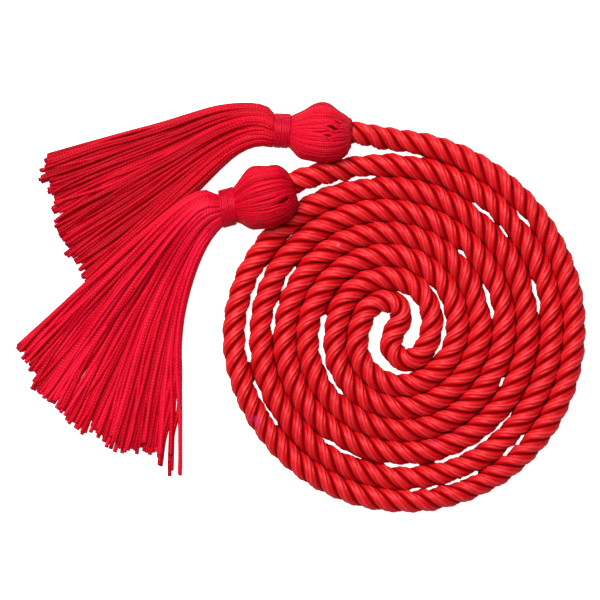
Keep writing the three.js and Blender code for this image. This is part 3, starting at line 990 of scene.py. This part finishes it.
def makeHead(tassel, settings, material):
    count = 26
    template = makeTubeTemplate(sides=8, rings=count)
    dice = random.Random(tassel["seed"] + 40)
    bm = startYarns()
    addPaintedShadeCore(bm, tassel, settings)
    for index in range(settings["headYarns"]):
        start = 2 * math.pi * (index + dice.uniform(-0.22, 0.22)) / settings["headYarns"]
        proud = dice.uniform(-0.16, 0.1) * mm
        phase = dice.uniform(0, 50)
        toneAndPaintedLight = dice.uniform(0.1, 0.65)
        centres, radii = [], []
        for i in range(count):
            if i < len(headLip):
                share, radiusShare = headLip[i]
                radius = radiusShare * settings["headRadius"] * tassel["headShare"]
                z = settings["mouthHeight"] + math.sin(start) * radius
                distance = share * settings["headLength"]
                centres.append(placeAlong(tassel, distance, math.cos(start) * radius, z))
                radii.append(0.5 * settings["headYarnRadius"])
                continue
            share = mix(0.06, 1.08, (i - len(headLip)) / (count - 1 - len(headLip)))
            wander = noise.noise(Vector((share * 2.4, phase, 0.5))) * 0.05
            fullness = smoothTable(headProfile, min(share, 1), "radius") * settings["headRadius"]
            angle = parted(tassel, settings, share, start, start + wander, fullness)
            yarn = settings["headYarnRadius"] * mix(0.72, 1, smoothStep(fullness, 5 * mm, 10 * mm))
            # past its end the yarn dives under the binding
            under = max(share - 1, 0) * settings["headLength"]
            point = headPoint(tassel, settings, min(share, 1), angle, yarn * 0.8 - proud + under * 0.6)
            point += polar(under, tassel["heading"])
            point.z = max(point.z, yarn)
            centres.append(point)
            radii.append(yarn)
        addYarn(bm, template, centres, radii, {"toneAndPaintedLight": toneAndPaintedLight, "tip": 0.0})
    return makeObject(f"{tassel['name']}_tassel_head", bm, material)


def makeBinding(tassel, settings, material):
    # one thread wound round the neck, tucked in at both ends
    turns, width = settings["bindingTurns"], settings["bindingWidth"]
    thread = 0.6 * width / turns  # its radius, so that neighbouring turns overlap a little
    last = turns * settings["bindingPointsPerTurn"]
    template = makeTubeTemplate(sides=6, rings=last + 1)
    phase = random.Random(tassel["seed"] + 90).uniform(0, 50)
    lean = math.tan(math.radians(tassel["bindingTurn"]))
    centres = []
    for i in range(last + 1):
        share = i / last
        angle = 2 * math.pi * turns * share
        tuck = 0.6 * mm * (1 - smoothStep(min(share, 1 - share), 0, 0.02))
        uneven = noise.noise(Vector((share * 14, phase, 2))) * 0.1 * mm
        radius = settings["bindingOuter"] - thread - tuck - 0.1 * mm + uneven
        slip = noise.noise(Vector((share * 9, phase, 7))) * 0.16 * mm
        distance = settings["bindingStart"] + thread + (width - 2 * thread) * share + slip
        across = math.cos(angle) * radius * tassel["bindingShare"]
        z = settings["neckHeight"] + math.sin(angle) * radius
        centres.append(placeAlong(tassel, distance - lean * across, across, z))
    bm = startYarns()
    addYarn(bm, template, centres, [thread] * len(centres), {"toneAndPaintedLight": 0.5, "tip": 0.0})
    return makeObject(f"{tassel['name']}_binding_thread", bm, material)


def makeTassel(tassel, settings, lyingUnder, materials):
    grid = makeFanGrid(tassel, settings)
    fringe = makeFringe(tassel, settings, grid, lyingUnder, materials["chainette"])
    head = makeHead(tassel, settings, materials["chainette"])
    binding = makeBinding(tassel, settings, materials["thread"])
    for piece, node, slot in (
        (fringe, f"{tassel['name']}_tassel", "tassel_yarn"),
        (head, f"{tassel['name']}_tassel", "tassel_yarn"),
        (binding, f"{tassel['name']}_binding", "binding_thread"),
    ):
        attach(piece, "root")
        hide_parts(node)
    print(f"{tassel['name']} tassel made")
    # what the other tassel's fringe needs to lie over this one
    outline = [Vector((p.x, p.y, 0)) for p in grid[0][::3] + list(reversed(grid[-1][::3]))]
    return {"outline": outline, "neck": placeAlong(tassel, settings["fringeStart"], 0, 0)}


# floor and light

studioSettings = {
    "floorColour": "F4F4F4",
    "floorGlow": 0.92,  # a backlit white table, which keeps the shadows pale
    "floorSize": 16.0, "floorDrop": 0.2 * mm,
    "domeStrength": 0.16,
    "keyPower": 17,
    "keyPlace": (-0.3, 0.4, 0.9),
    "keySize": 0.8,
}


def makeStudio(settings):
    material, tree = startMaterial("matt_white_paper")
    shader = addNode(tree, "ShaderNodeBsdfPrincipled", {
        "Base Color": linearColour(settings["floorColour"]), "Roughness": 0.9,
        "Specular IOR Level": 0.1, "Emission Color": (1, 1, 1, 1),
        "Emission Strength": settings["floorGlow"]})
    addNode(tree, "ShaderNodeOutputMaterial", links={"Surface": shader.outputs["BSDF"]})
    bm = bmesh.new()
    bmesh.ops.create_grid(bm, x_segments=1, y_segments=1, size=settings["floorSize"] / 2)
    floor = makeObject("floor", bm, material, smooth=False)
    floor.location.z = -settings["floorDrop"]
    floor.visible_glossy = False

    world = bpy.data.worlds.new("soft_dome")
    world.use_nodes = True
    background = world.node_tree.nodes["Background"]
    background.inputs["Color"].default_value = (1, 1, 1, 1)
    background.inputs["Strength"].default_value = settings["domeStrength"]
    bpy.context.scene.world = world
    bpy.context.scene.view_settings.view_transform = "Standard"

    data = bpy.data.lights.new("key", "AREA")
    data.energy = settings["keyPower"]
    data.shape = "DISK"
    data.size = settings["keySize"]
    key = bpy.data.objects.new("key", data)
    key.location = settings["keyPlace"]
    key.rotation_euler = (-Vector(settings["keyPlace"])).to_track_quat("-Z", "Y").to_euler()
    bpy.context.scene.collection.objects.link(key)
    print("studio made")


# making

materials = {
    "rayon": makeRayon(rayonSettings),
    "chainette": makeChainette(chainetteSettings),
    "thread": makeThread(threadSettings),
}
print("materials made")
makeCord(cordSettings, materials["rayon"])
upperFringe = makeTassel(upperTassel, tasselSettings, None, materials)
makeTassel(lowerTassel, tasselSettings, upperFringe, materials)
makeStudio(studioSettings)
